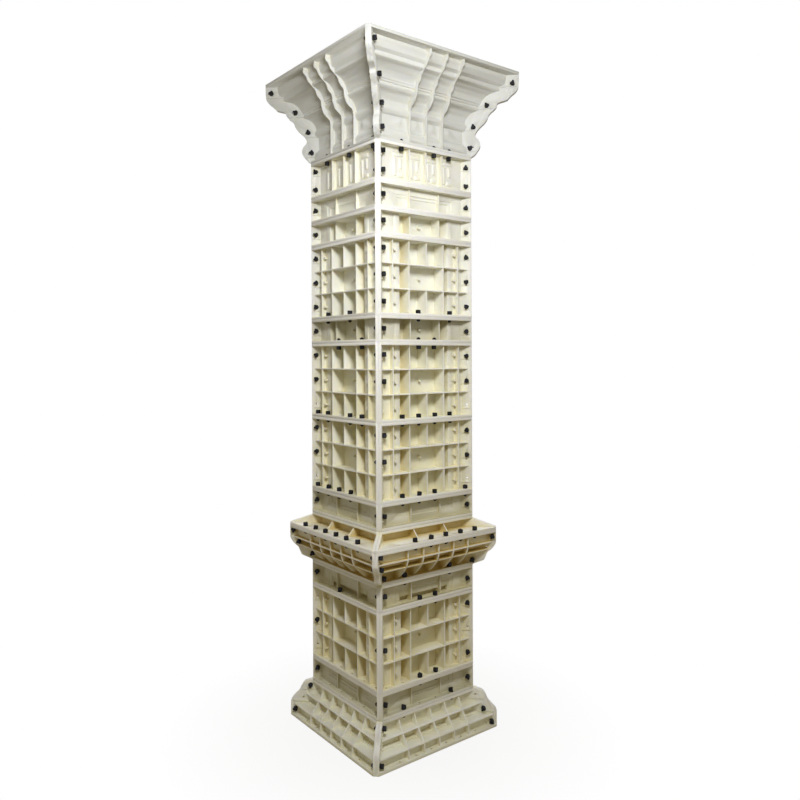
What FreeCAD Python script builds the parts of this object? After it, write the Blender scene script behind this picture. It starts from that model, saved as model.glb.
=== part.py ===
"""Bolted plastic mould for a square concrete column with capital, cornice and base.

Fourteen rings are stacked on each other. Each ring is four panels with mitred corner flanges.
Millimetres, +Z up, origin in the middle of the footprint at floor level.
A panel is drawn as the front one: its outer side looks along -Y and Z counts from its own lower joint.
"""
import FreeCAD, Part
import os
import Sketcher

SIZES = (
    ("column_side", 415, "side of the cast column"),
    ("flange_depth", 35, "casting face to outer edge of the joint flanges"),
    ("flange_wall", 11, "thickness of one joint flange"),
    ("wall", 6, "thickness of the casting wall"),
    ("rib_wall", 5, "thickness of a rib"),
    ("rib_pitch", 80, "distance between upright ribs"),
    ("gusset_pitch", 75, "distance between the gussets of base, cornice and cover"),
    ("rib_height", 19, "ribs above the casting wall"),
    ("field_depth", 35, "sunk middle field of the tall panels"),
    ("tall_height", 300, "tall panel"),
    ("band_height", 100, "low band"),
    ("frieze_height", 150, "frieze below the capital"),
    ("capital_height", 340, "capital"),
    ("capital_side", 760, "capital over its top lip"),
    ("capital_lip", 37, "overhang of the top lip over the abacus wall"),
    ("neck_rise", 111, "plain neck of the capital, from its lower joint"),
    ("fillet_step", 12, "first fillet over the neck"),
    ("fillet_rise", 31, "height of the first fillet"),
    ("cyma_reach", 35, "lower curve, outwards"),
    ("cyma_rise", 55, "lower curve, upwards"),
    ("listel_rise", 19, "plain strip between the curves"),
    ("cavetto_reach", 62, "upper curve, outwards"),
    ("cavetto_rise", 54, "upper curve, upwards"),
    ("bead_reach", 24, "bead of the capital's corner flange"),
    ("bead_low", 42, "lower end of the bead"),
    ("bead_rise", 24, "height of the bead"),
    ("throat_rise", 92, "narrowest place of the corner flange"),
    ("throat_reach", 14, "corner flange at its narrowest place"),
    ("shoulder_rise", 218, "shoulder of the corner flange"),
    ("shoulder_reach", 76, "corner flange below its shoulder"),
    ("shoulder_step", 22, "shoulder of the corner flange"),
    ("lip_drop", 48, "upright end of the corner flange at the lip"),
    ("cornice_side", 620, "cornice over its rim"),
    ("cornice_height", 145, "cornice below its cover"),
    ("cornice_lip", 22, "overhang of the rim over the fascia"),
    ("cornice_foot", 24, "plain foot of the cornice, from its lower joint"),
    ("cove_reach", 57, "curve of the cornice, outwards"),
    ("cove_rise", 50, "curve of the cornice, upwards"),
    ("fascia_drop", 46, "upright fascia under the rim"),
    ("cornice_rib", 12, "ribs of the cornice above its wall"),
    ("cover_height", 55, "cover on the cornice"),
    ("cover_web", 55, "foot of a web on the cover"),
    ("base_side", 620, "base over its lower flange"),
    ("base_height", 150, "base"),
    ("base_lip", 29, "lower flange of the base in front of its wall"),
    ("tier_low", 50, "lowest tier of the base"),
    ("shelf_reach", 18, "level rib at the top of a tier"),
    ("shelf_rise", 10, "level rib where it meets its tier"),
    ("tier_ledge", 41, "ledge of the middle tier"),
    ("tier_middle", 95, "top of the middle tier"),
    ("tier_top", 18, "ledge of the top tier"),
    ("base_rib", 20, "gussets of the base in front of its wall"),
    ("base_toe", 64, "upright end of the base's corner flange"),
    ("base_shoulder", 50, "corner flange in front of the top tier"),
    ("knob_side", 22, "side of a three-cornered bolt head"),
    ("knob_height", 15, "bolt head, out of the flange"),
    ("bolt_inset", 16, "middle of a joint bolt, from the flange's edge"),
)

doc = FreeCAD.newDocument("column_mould")
sheet = doc.addObject("Spreadsheet::Sheet", "Sizes")
for row, (alias, value, note) in enumerate(SIZES, start=1):
    sheet.set(f"A{row}", note)
    sheet.set(f"B{row}", str(value))
    sheet.setAlias(f"B{row}", alias)
doc.recompute()

# Distances that many outlines share, as expressions on the sheet
INNER = "Sizes.column_side / 2"
OUTER = f"({INNER} + Sizes.flange_depth)"
SKIN = f"({INNER} + Sizes.wall)"
HEART = "Sizes.column_side / 4"
FLANGE = "Sizes.flange_wall"
WALL = "Sizes.wall"
SLANT = "Sizes.flange_wall * sqrt(2)"
CAPITAL = "Sizes.capital_side / 2"
CORNICE = "Sizes.cornice_side / 2"
BASE = "Sizes.base_side / 2"
RIBS = "Sizes.rib_pitch"
GUSSETS = "Sizes.gusset_pitch"
FIELD = "(Sizes.rib_pitch + Sizes.rib_wall / 2)"
FIELD_INNER = f"({INNER} - Sizes.field_depth)"

# A level of zero lies on the sketch's own x axis
GROUND = "0"
X_AXIS = -1
LINE_START = 1
LINE_END = 2

# A flaring curve starts upright and bends outwards. It is a parabola whose control point lies at
# these shares of its reach and rise, and it is moulded in flat facets.
FLARE_REACH = 0.2
FLARE_RISE = 0.8

SIDES = ("front", "right", "back", "left")
QUARTER = 90
FAR_RIGHT = 1


class Panel:
    """One kind of panel. Its corner bolts lie between skin and edge, evenly spaced over its height.

    Its ribs stand at multiples of pitch from its middle and its joint bolts halfway between them.
    """

    def __init__(self, solid, height, pitch, skin, edge, bolts):
        self.solid = solid
        self.height = height
        self.pitch = pitch
        self.skin = skin
        self.edge = edge
        self.bolts = bolts


def measure(expression):
    """The value of an expression on the sheet, in millimetres."""
    return float(sheet.evalExpression(expression))


def add_outline(sketch, points):
    """Adds one closed outline. Its points are pairs of expressions on the sheet."""
    spots = [FreeCAD.Vector(measure(across), measure(up)) for across, up in points]
    lines = []
    for start, end in zip(spots, spots[1:] + spots[:1]):
        lines.append(sketch.addGeometry(Part.LineSegment(start, end), False))
    for index, (across, up) in enumerate(points):
        line = lines[index]
        sketch.addConstraint(Sketcher.Constraint("Coincident", lines[index - 1], LINE_END, line, LINE_START))
        bind(sketch, Sketcher.Constraint("DistanceX", line, LINE_START, spots[index].x), across)
        if up == GROUND:
            sketch.addConstraint(Sketcher.Constraint("PointOnObject", line, LINE_START, X_AXIS))
        else:
            bind(sketch, Sketcher.Constraint("DistanceY", line, LINE_START, spots[index].y), up)


def bind(sketch, constraint, expression):
    """Adds a dimension to a sketch and ties it to the sheet."""
    index = sketch.addConstraint(constraint)
    sketch.setExpression(f"Constraints[{index}]", expression)


def mirrored(points):
    """Outline points turned over to the other side of the panel, in the order that closes them."""
    return [(f"-({point[0]})", point[1]) for point in reversed(points)]


def shifted(points, across, up):
    """The same outline moved by two expressions, such as "- Sizes.wall"."""
    return [(f"{x} {across}", f"{z} {up}") for x, z in points]


def flare(x_low, z_low, x_high, z_high, facets):
    """The points of a flaring curve after its first, as expressions on the sheet."""
    points = []
    for facet in range(1, facets + 1):
        way = facet / facets
        reach = way ** 2 + 2 * way * (1 - way) * FLARE_REACH
        rise = way ** 2 + 2 * way * (1 - way) * FLARE_RISE
        across = f"{x_low} + ({x_high} - {x_low}) * {reach:.4f}"
        up = f"{z_low} + ({z_high} - {z_low}) * {rise:.4f}"
        points.append((across, up))
    return points


def origin_feature(body, role):
    """A plane or axis of a body's own origin."""
    return next(item for item in body.Origin.OriginFeatures if item.Role == role)


def plan_sketch(body, name, outlines, lift=None):
    """A sketch on the body's ground plane, or lift above it."""
    sketch = body.newObject("Sketcher::SketchObject", name)
    sketch.AttachmentSupport = [(origin_feature(body, "XY_Plane"), "")]
    sketch.MapMode = "FlatFace"
    if lift:
        sketch.setExpression("AttachmentOffset.Base.z", lift)
    for outline in outlines:
        add_outline(sketch, outline)
    return sketch


def pocket(body, name, outlines, lift, length):
    """Cuts the outlines upwards from lift, and checks that material went away."""
    sketch = plan_sketch(body, name + "_sketch", outlines, lift)
    doc.recompute()
    before = body.Shape.Volume
    cut = body.newObject("PartDesign::Pocket", name)
    cut.Profile = sketch
    cut.Reversed = True
    cut.setExpression("Length", length)
    doc.recompute()
    if body.Shape.Volume >= before:
        raise RuntimeError(f"{name} cuts nothing")
    return cut


def tray_outline(brim, floor):
    """Plan outline of the hollow between the slanted corner flanges, from brim down to floor."""
    half = [(f"{brim} - {SLANT}", f"-{brim}"), (f"{floor} - {SLANT}", f"-{floor}")]
    return half + mirrored(half)


def bay_outlines(ribs, brim, sunk):
    """Plan outlines of the bays between upright ribs, from brim down to the casting wall.

    ribs counts the ribs in steps of the rib pitch from the middle. In a tall panel the bays of
    the middle field are sunk. The end bays run along the slanted corner flanges.
    """
    last = f"(Sizes.rib_pitch * {ribs[-1]} + Sizes.rib_wall / 2)"
    end_bay = [
        (f"{brim} - {SLANT}", f"-{brim}"),
        (f"{SKIN} - {SLANT}", f"-{SKIN}"),
        (last, f"-{SKIN}"),
        (last, f"-{brim}"),
    ]
    outlines = [end_bay, mirrored(end_bay)]
    for left, right in zip(ribs, ribs[1:]):
        low = f"(Sizes.rib_pitch * ({left}) + Sizes.rib_wall / 2)"
        high = f"(Sizes.rib_pitch * ({right}) - Sizes.rib_wall / 2)"
        floor = f"({FIELD_INNER} + {WALL})" if sunk and abs(left + right) <= 1 else SKIN
        outlines.append([(low, f"-{brim}"), (high, f"-{brim}"), (high, f"-{floor}"), (low, f"-{floor}")])
    return outlines


def straight_panel(name, height, ribs, bolts, rows=1, sunk=False):
    """A panel of the straight shaft: a mitred slab, cut back to its wall, flanges and ribs."""
    body = doc.addObject("PartDesign::Body", name)
    half = [
        (f"{OUTER} - {SLANT}", f"-{OUTER}"),
        (f"{OUTER} - {SLANT} / 2", f"-({OUTER} - {SLANT} / 2)"),
        (INNER, f"-({INNER})"),
    ]
    if sunk:
        half += [(FIELD, f"-({INNER})"), (FIELD, f"-{FIELD_INNER}")]
    slab = body.newObject("PartDesign::Pad", name + "_slab")
    slab.Profile = plan_sketch(body, name + "_plan", [half + mirrored(half)])
    slab.setExpression("Length", height)
    doc.recompute()
    skin = [(SKIN, GROUND), (SKIN, height)]
    edge = [(OUTER, GROUND), (OUTER, height)]
    panel = Panel(body, height, RIBS, skin, edge, bolts)

    brim = f"({OUTER} + {WALL})"
    clear_height = f"({height} - 2 * {FLANGE})"
    if not ribs:
        pocket(body, name + "_tray", [tray_outline(brim, SKIN)], FLANGE, clear_height)
        return panel
    rib_edge = f"({SKIN} + Sizes.rib_height)"
    pocket(body, name + "_window", [tray_outline(brim, rib_edge)], FLANGE, clear_height)
    row_pitch = f"(({clear_height} + Sizes.rib_wall) / {rows})"
    row_height = f"({row_pitch} - Sizes.rib_wall)"
    bays = pocket(body, name + "_bays", bay_outlines(ribs, brim, sunk), FLANGE, row_height)
    if rows > 1:
        pattern = body.newObject("PartDesign::LinearPattern", name + "_rows")
        pattern.Originals = [bays]
        pattern.Direction = (origin_feature(body, "Z_Axis"), [""])
        pattern.setExpression("Length", f"{row_pitch} * {rows - 1}")
        pattern.Occurrences = rows
        body.Tip = pattern
        doc.recompute()
    if sunk:
        # The middle rib leaves out the middle row
        side = "Sizes.rib_wall / 2"
        half = [(side, f"-{brim}"), (side, f"-({FIELD_INNER} + {WALL})")]
        pocket(body, name + "_gap", [half + mirrored(half)], f"{FLANGE} + {row_pitch}", row_height)
    return panel


def upright_sketch(name, across, points):
    """A sketch that stands upright: its x runs along across, level, and its y runs up."""
    sketch = doc.addObject("Sketcher::SketchObject", name)
    up = FreeCAD.Vector(0, 0, 1)
    sketch.Placement.Rotation = FreeCAD.Rotation(across, up, across.cross(up), "XYZ")
    add_outline(sketch, points)
    return sketch


def extrusion(name, sketch, length, both_ways=False):
    """A sketch drawn out along its normal."""
    drawn = doc.addObject("Part::Extrusion", name)
    drawn.Base = sketch
    drawn.DirMode = "Normal"
    drawn.Solid = True
    drawn.Symmetric = both_ways
    drawn.setExpression("LengthFwd", length)
    return drawn


def turned_over(name, source):
    """A copy on the other side of the panel's middle."""
    copy = doc.addObject("Part::Mirroring", name)
    copy.Source = source
    copy.Normal = FreeCAD.Vector(1, 0, 0)
    return copy


def moulding(name, height, reach, skin, core, pitch, ribs, rib_edge, flange_edge, bolts):
    """A moulded panel, with each outline given from the casting outwards and upwards.

    skin is the outside of the casting wall with its level flanges, and core is the cast column.
    ribs counts the ribs in steps of pitch from the middle.
    rib_edge is the free edge of the ribs and flange_edge that of the corner flanges.
    """
    out = FreeCAD.Vector(0, -1, 0)
    corner = FreeCAD.Vector(1, -1, 0).normalize()
    span = f"4 * ({reach})"
    rib_outline = [(HEART, FLANGE)] + rib_edge + [(HEART, f"{height} - {FLANGE}")]
    tip = [(f"({x} - {SLANT} / 2) * sqrt(2)", z) for x, z in flange_edge]
    beyond = f"-2 * ({reach})"
    tip_outline = [(beyond, tip[0][1])] + tip + [(beyond, tip[-1][1])]

    skin_outline = [(HEART, GROUND)] + skin + [(HEART, height)]
    core_outline = [(HEART, f"-{WALL}")] + core + [(HEART, f"{height} + {WALL}")]

    skin_sketch = upright_sketch(name + "_skin_outline", out, skin_outline)
    pieces = [extrusion(name + "_skin", skin_sketch, span, True)]
    rib_sketch = upright_sketch(name + "_rib_outline", out, rib_outline)
    for count in ribs:
        rib = extrusion(f"{name}_rib_{len(pieces)}", rib_sketch, "Sizes.rib_wall", True)
        rib.setExpression("Placement.Base.x", f"{pitch} * ({count})")
        pieces.append(rib)
    tip_sketch = upright_sketch(name + "_flange_outline", corner, tip_outline)
    flange = extrusion(name + "_flange", tip_sketch, FLANGE)
    pieces += [flange, turned_over(name + "_flange_copy", flange)]
    whole = doc.addObject("Part::MultiFuse", name + "_whole")
    whole.Shapes = pieces

    # The panel ends at its mitres and at the flat tips of its corner flanges
    limit = extrusion(name + "_tip_limit", tip_sketch, span, True)
    wedge_sketch = doc.addObject("Sketcher::SketchObject", name + "_wedge_outline")
    wedge = [(HEART, f"-({HEART})"), (reach, f"-({reach})")]
    add_outline(wedge_sketch, wedge + mirrored(wedge))
    trimmed = doc.addObject("Part::MultiCommon", name + "_trimmed")
    trimmed.Shapes = [
        whole,
        extrusion(name + "_wedge", wedge_sketch, height),
        limit,
        turned_over(name + "_tip_limit_copy", limit),
    ]
    solid = doc.addObject("Part::Cut", name)
    solid.Base = trimmed
    core_sketch = upright_sketch(name + "_core_outline", out, core_outline)
    solid.Tool = extrusion(name + "_core", core_sketch, span, True)
    solid.Refine = True
    return Panel(solid, height, pitch, skin, flange_edge, bolts)


def capital_panel():
    """The capital: a plain neck, a fillet, two flaring curves and an abacus under a wide lip."""
    height = "Sizes.capital_height"
    fillet = "Sizes.neck_rise"
    cyma = f"({fillet} + Sizes.fillet_rise)"
    listel = f"({cyma} + Sizes.cyma_rise)"
    cavetto = f"({listel} + Sizes.listel_rise)"
    abacus = f"({cavetto} + Sizes.cavetto_rise)"
    lip = f"({height} - {FLANGE})"
    fillet_x = f"({SKIN} + Sizes.fillet_step)"
    listel_x = f"({fillet_x} + Sizes.cyma_reach)"
    cavetto_x = f"({listel_x} + Sizes.cavetto_reach)"
    abacus_x = f"({CAPITAL} - Sizes.capital_lip)"

    curve = [(SKIN, fillet), (fillet_x, fillet), (fillet_x, cyma)]
    curve += flare(fillet_x, cyma, listel_x, listel, 2)
    curve += [(listel_x, cavetto)]
    curve += flare(listel_x, cavetto, cavetto_x, abacus, 3)
    curve += [(abacus_x, abacus)]
    skin = [(OUTER, GROUND), (OUTER, FLANGE), (SKIN, FLANGE)] + curve
    skin += [(abacus_x, lip), (CAPITAL, lip), (CAPITAL, height)]
    core = [(INNER, f"-{WALL}")] + shifted(curve, f"- {WALL}", f"+ {WALL}")
    core += [(f"{abacus_x} - {WALL}", f"{height} + {WALL}")]
    rib = "+ Sizes.rib_height"
    rib_edge = [
        (f"{SKIN} {rib}", FLANGE),
        (f"{SKIN} {rib}", cyma),
        (f"{listel_x} {rib}", listel),
        (f"{listel_x} {rib}", cavetto),
        (f"{cavetto_x} {rib}", abacus),
        (f"{cavetto_x} {rib}", lip),
    ]
    bead_x = f"{OUTER} + Sizes.bead_reach"
    shoulder_x = f"{OUTER} + Sizes.shoulder_reach"
    flange_edge = [
        (OUTER, GROUND),
        (bead_x, "Sizes.bead_low"),
        (bead_x, "Sizes.bead_low + Sizes.bead_rise"),
        (f"{OUTER} + Sizes.throat_reach", "Sizes.throat_rise"),
        (shoulder_x, "Sizes.shoulder_rise"),
        (f"{shoulder_x} + Sizes.shoulder_step", "Sizes.shoulder_rise"),
        (CAPITAL, f"{height} - Sizes.lip_drop"),
        (CAPITAL, height),
    ]
    ribs = (-1, 0, 1)
    return moulding("capital", height, CAPITAL, skin, core, RIBS, ribs, rib_edge, flange_edge, 4)


def cornice_panel():
    """The cornice: a curve that flares up to a fascia under a wide rim."""
    height = "Sizes.cornice_height"
    foot = "Sizes.cornice_foot"
    cove = f"({foot} + Sizes.cove_rise)"
    fascia = f"({height} - Sizes.fascia_drop)"
    rim = f"({height} - {FLANGE})"
    cove_x = f"({SKIN} + Sizes.cove_reach)"
    fascia_x = f"({CORNICE} - Sizes.cornice_lip)"

    curve = [(SKIN, foot)] + flare(SKIN, foot, cove_x, cove, 2) + [(cove_x, fascia), (fascia_x, fascia)]
    skin = [(OUTER, GROUND), (OUTER, FLANGE), (SKIN, FLANGE)] + curve
    skin += [(fascia_x, rim), (CORNICE, rim), (CORNICE, height)]
    core = [(INNER, f"-{WALL}")] + shifted(curve, f"- {WALL}", f"+ {WALL}")
    core += [(f"{fascia_x} - {WALL}", f"{height} + {WALL}")]
    rib = "+ Sizes.cornice_rib"
    rib_edge = [
        (f"{SKIN} {rib}", FLANGE),
        (f"{SKIN} {rib}", foot),
        (f"{cove_x} {rib}", cove),
        (f"{cove_x} {rib}", f"{fascia} - {WALL}"),
        (f"{fascia_x} {rib}", fascia),
        (f"{fascia_x} {rib}", rim),
    ]
    flange_edge = [
        (OUTER, GROUND),
        (f"{OUTER} + Sizes.cove_reach / 2", foot),
        (f"{cove_x} {rib}", f"{cove} - 2 * Sizes.cornice_rib"),
        (CORNICE, f"{fascia} - Sizes.cornice_rib"),
        (CORNICE, height),
    ]
    ribs = (-2, -1, 0, 1, 2)
    return moulding("cornice", height, CORNICE, skin, core, GUSSETS, ribs, rib_edge, flange_edge, 3)


def cover_panel():
    """The cover on the cornice: a level plate, an upright wall with two webs and an upper flange."""
    height = "Sizes.cover_height"
    top = f"({height} - {FLANGE})"
    skin = [(CORNICE, GROUND), (CORNICE, FLANGE), (SKIN, FLANGE), (SKIN, top), (OUTER, top), (OUTER, height)]
    core = [(INNER, f"-{WALL}"), (INNER, f"{height} + {WALL}")]
    rib_edge = [(f"{SKIN} + Sizes.cover_web", FLANGE), (f"{OUTER} - Sizes.rib_wall", top)]
    flange_edge = [(CORNICE, GROUND), (CORNICE, FLANGE), (OUTER, top), (OUTER, height)]
    ribs = (-1, 1)
    return moulding("cornice_cover", height, CORNICE, skin, core, GUSSETS, ribs, rib_edge, flange_edge, 0)


def base_panel():
    """The base: three tiers that step out downwards to a wide lower flange.

    A level rib runs along the top of each of the two lower tiers.
    """
    height = "Sizes.base_height"
    low = "Sizes.tier_low"
    middle = "Sizes.tier_middle"
    top = f"({height} - {FLANGE})"
    low_x = f"({BASE} - Sizes.base_lip)"
    middle_x = f"({low_x} - Sizes.tier_ledge)"
    top_x = f"({middle_x} - Sizes.tier_top)"

    skin = [(BASE, GROUND), (BASE, FLANGE), (low_x, FLANGE)]
    for tier_x, tier_z, next_x in ((low_x, low, middle_x), (middle_x, middle, top_x)):
        skin += [(tier_x, f"{tier_z} - Sizes.shelf_rise"), (f"{tier_x} + Sizes.shelf_reach", tier_z)]
        skin += [(next_x, tier_z)]
    skin += [(top_x, top), (OUTER, top), (OUTER, height)]
    steps = [(low_x, low), (middle_x, low), (middle_x, middle), (top_x, middle)]
    core = [(f"{low_x} - {WALL}", f"-{WALL}")] + shifted(steps, f"- {WALL}", f"- {WALL}")
    core += [(f"{top_x} - {WALL}", f"{height} - {FLANGE}"), (INNER, f"{height} - {FLANGE}")]
    core += [(INNER, f"{height} + {WALL}")]
    rib = "+ Sizes.base_rib"
    rib_edge = [
        (f"{low_x} {rib}", FLANGE),
        (f"{low_x} {rib}", low),
        (f"{middle_x} {rib}", middle),
        (f"{OUTER} - Sizes.rib_wall", top),
    ]
    flange_edge = [
        (BASE, GROUND),
        (BASE, "Sizes.base_toe"),
        (f"{top_x} + Sizes.base_shoulder", f"{top} - {WALL}"),
        (OUTER, height),
    ]
    ribs = (-2, -1, 0, 1, 2)
    return moulding("base", height, BASE, skin, core, GUSSETS, ribs, rib_edge, flange_edge, 3)


def across_at(outline, level):
    """How far out an outline lies at a level."""
    spots = [(measure(across), measure(up)) for across, up in outline]
    for (x_low, z_low), (x_high, z_high) in zip(spots, spots[1:]):
        if z_low <= level < z_high:
            return x_low + (x_high - x_low) * (level - z_low) / (z_high - z_low)
    raise ValueError(f"no outline at level {level}")


def placed(label, panel, turns, lift):
    """One panel of a ring, turned to its side of the column and lifted to its joint."""
    link = doc.addObject("App::Link", label)
    link.Label = label
    link.LinkedObject = panel.solid
    link.Placement.Rotation = FreeCAD.Rotation(FreeCAD.Vector(0, 0, 1), QUARTER * turns)
    link.setExpression("Placement.Base.z", lift)
    return link


def bolt_head(turns, centre, angle):
    """A three-cornered head that stands on z = 0, moved to centre on the front side, then turned."""
    half = measure("Sizes.knob_side") / 2
    rise = half * 3 ** 0.5 / 2
    corners = [FreeCAD.Vector(-half, -rise), FreeCAD.Vector(half, -rise), FreeCAD.Vector(0, rise)]
    face = Part.Face(Part.makePolygon(corners + corners[:1]))
    head = face.extrude(FreeCAD.Vector(0, 0, measure("Sizes.knob_height")))
    quarter = FreeCAD.Rotation(FreeCAD.Vector(0, 0, 1), QUARTER * turns)
    head.Placement = FreeCAD.Placement(FreeCAD.Vector(), quarter).multiply(FreeCAD.Placement(centre, angle))
    return head


def corner_bolt_heads(panel, lift, rows_by_corner):
    """Heads on the corner flanges, on the side of the panel that follows anticlockwise.

    At the far right corner they are on the other side.
    """
    along = FreeCAD.Vector(1, -1, 0).normalize()
    heads = []
    for turns, rows in enumerate(rows_by_corner):
        off = FreeCAD.Vector(1, 1, 0).normalize() * (-1 if turns == FAR_RIGHT else 1)
        angle = FreeCAD.Rotation(along, off.cross(along), off, "XYZ")
        for row in rows:
            level = measure(panel.height) * (row + 0.5) / panel.bolts
            middle = (across_at(panel.skin, level) + across_at(panel.edge, level) - measure(SLANT)) / 2
            centre = FreeCAD.Vector(middle, -middle, lift + level) + off * measure(FLANGE)
            heads.append(bolt_head(turns, centre, angle))
    return heads


def flange_bolt_heads(panel, lift, bays_by_side, above):
    """Heads on the level joint under a panel, over its upper flange or under its lower one."""
    distance = across_at(panel.edge, 0) - measure("Sizes.bolt_inset")
    heads = []
    for turns, bays in enumerate(bays_by_side):
        for bay in bays:
            spot = FreeCAD.Vector(measure(panel.pitch) * bay, -distance, lift)
            spot.z += measure(FLANGE) if above else -measure(FLANGE)
            angle = FreeCAD.Rotation(FreeCAD.Vector(0, 1, 0), 0 if above else 180)
            heads.append(bolt_head(turns, spot, angle))
    return heads


def group(label, shapes):
    """Separate solids that share one node."""
    feature = doc.addObject("Part::Feature", label)
    feature.Label = label
    feature.Shape = Part.makeCompound(shapes)
    return feature


capital = capital_panel()
frieze = straight_panel("frieze", "Sizes.frieze_height", (-1, 0, 1), 2)
band = straight_panel("band", "Sizes.band_height", (), 1)
tall = straight_panel("tall_panel", "Sizes.tall_height", (-2, -1, 0, 1, 2), 3, rows=3, sunk=True)
cornice = cornice_panel()
cover = cover_panel()
base = base_panel()

# A ring's corner bolts are the used rows of holes at its near right, far right, far left and near
# left corner, seen from the front. Its joint bolts are the bays with a bolt on its front, right,
# back and left side, in pitches from the panel's middle. They lie over or under its lower joint.
NONE = ((), (), (), ())
SINGLE = ((0,), (0,), (0,), (0,))
DOUBLE = ((0, 1), (0, 1), (0, 1), (0, 1))
UPPER = ((1, 2), (1, 2), (1,), (1, 2))
TRIPLE = ((0, 1, 2), (0, 1, 2), (1,), (0, 1, 2))
ROW = (-2.5, -1.5, -0.5, 0.5, 1.5, 2.5)
PAIR = (-1.5, 1.5)
INNER_PAIR = (-0.5, 0.5)
ABOVE = True
BELOW = False
RINGS = (
    ("base", base, ((0, 2), (0, 1), (1,), (0, 2)), NONE, ABOVE),
    ("pedestal_foot_band", band, SINGLE, ((), PAIR, (), ()), ABOVE),
    ("pedestal_panel", tall, ((1,), (0, 2), (1,), (1,)), ((), INNER_PAIR, (), ()), ABOVE),
    ("pedestal_head_band", band, SINGLE, ((-0.5,), INNER_PAIR, (), ()), ABOVE),
    ("cornice", cornice, ((0, 1, 2), (0, 2), (0, 2), (0, 1, 2)), ((), PAIR, (), ()), ABOVE),
    ("cornice_cover", cover, NONE, (ROW, ROW[1:], PAIR, PAIR), ABOVE),
    ("shaft_foot_band", band, SINGLE, NONE, ABOVE),
    ("shaft_panel_1", tall, UPPER, (ROW[:4], (-1.5, -0.5, 0.5, 2.5), PAIR, PAIR), ABOVE),
    ("shaft_panel_2", tall, UPPER, ((-2.5, -1.5, 0.5, 1.5), ROW[1:5], PAIR, PAIR), ABOVE),
    ("shaft_middle_band", band, SINGLE, ((-0.5, 1.5), INNER_PAIR, PAIR, PAIR), BELOW),
    ("shaft_panel_3", tall, TRIPLE, ((-1.5, 0.5), (-0.5, 1.5), PAIR, PAIR), ABOVE),
    ("shaft_head_band", band, SINGLE, NONE, ABOVE),
    ("neck_band", band, SINGLE, NONE, ABOVE),
    ("frieze", frieze, DOUBLE, NONE, ABOVE),
    ("capital", capital, ((0, 1, 2, 3), (0, 1, 2, 3), (0, 2), (0, 1, 2, 3)),
     ((-1.5, 0.5, 2.5), (-1.5, 0.5, 1.5), PAIR, PAIR), BELOW),
)

parts = []
covers = []
corner_heads = []
joint_heads = []
lift = "0"
for name, panel, corner_rows, joint_bays, above in RINGS:
    for turns, side in enumerate(SIDES):
        member = placed(f"{name}_{side}", panel, turns, lift)
        (covers if panel is cover else parts).append(member)
    floor = measure(lift)
    corner_heads += corner_bolt_heads(panel, floor, corner_rows)
    joint_heads += flange_bolt_heads(panel, floor, joint_bays, above)
    lift = f"{lift} + {panel.height}"

doc.recompute()
cover_group = doc.addObject("Part::Compound", "cornice_covers")
cover_group.Label = "cornice_covers"
cover_group.Links = covers
parts += [cover_group, group("corner_bolts", corner_heads), group("joint_bolts", joint_heads)]
doc.recompute()

for item in doc.Objects:
    if "Invalid" in item.State or "Error" in item.State:
        raise RuntimeError(f"{item.Label} failed: {item.State}")
shapes = {}
for item in parts:
    shape = Part.getShape(item)
    if shape.isNull() or not shape.isValid():
        raise RuntimeError(f"{item.Label} has no valid shape")
    shapes[item.Label] = shape

os.makedirs("parts", exist_ok=True)
for label, shape in shapes.items():
    shape.exportStep(f"parts/{label}.step")
    print(f"{label}: {len(shape.Solids)} solids, {shape.Volume / 1e3:.1f} cm3")
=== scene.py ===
"""Looks of the column mould: ribbed ivory panels and black three-cornered bolts.

Each kind of panel is made once as a mesh, as the front panel with Z from its own lower joint, and
shared by all the panels of that kind. Its outer side looks along -Y. Metres, +Z up.
"""

import math

import bmesh
import bpy
from mathutils import Matrix, Vector


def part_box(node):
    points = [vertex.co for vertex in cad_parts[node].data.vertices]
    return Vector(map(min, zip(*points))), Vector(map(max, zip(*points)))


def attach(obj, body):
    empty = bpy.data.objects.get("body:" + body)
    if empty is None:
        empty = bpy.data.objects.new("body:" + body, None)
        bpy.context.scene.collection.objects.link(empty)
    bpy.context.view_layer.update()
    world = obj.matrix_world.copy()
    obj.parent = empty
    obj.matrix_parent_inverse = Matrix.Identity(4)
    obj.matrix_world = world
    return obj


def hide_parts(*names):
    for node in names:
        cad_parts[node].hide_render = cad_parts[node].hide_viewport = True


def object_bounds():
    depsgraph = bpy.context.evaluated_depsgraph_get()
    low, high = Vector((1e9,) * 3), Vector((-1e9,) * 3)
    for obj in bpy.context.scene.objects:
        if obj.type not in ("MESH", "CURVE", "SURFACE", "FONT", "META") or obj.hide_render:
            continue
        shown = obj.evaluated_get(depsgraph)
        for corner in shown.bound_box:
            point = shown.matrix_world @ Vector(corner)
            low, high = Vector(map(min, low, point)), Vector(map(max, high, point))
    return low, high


MM = 0.001
SIDES = ("front", "right", "back", "left")
BODY = "root"

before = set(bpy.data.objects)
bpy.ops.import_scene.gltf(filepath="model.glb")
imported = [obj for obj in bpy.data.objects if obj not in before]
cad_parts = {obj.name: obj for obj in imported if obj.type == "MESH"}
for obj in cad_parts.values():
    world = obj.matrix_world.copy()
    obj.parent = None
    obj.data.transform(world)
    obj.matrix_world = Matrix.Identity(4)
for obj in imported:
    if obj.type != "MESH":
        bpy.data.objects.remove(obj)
cad_low, cad_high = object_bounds()

# Distances from the column's axis, read from the frame
band_low, band_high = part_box("neck_band_front")
OUTER = -band_low.y
INNER = -band_high.y
TIP = band_high.x
SLANT = 2 * (OUTER - TIP)
FLANGE = SLANT / math.sqrt(2)
CAPITAL = -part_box("capital_front")[0].y
CORNICE = -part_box("cornice_front")[0].y
BASE = -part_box("base_front")[0].y
WALL = 6 * MM
SKIN = INNER + WALL

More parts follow.
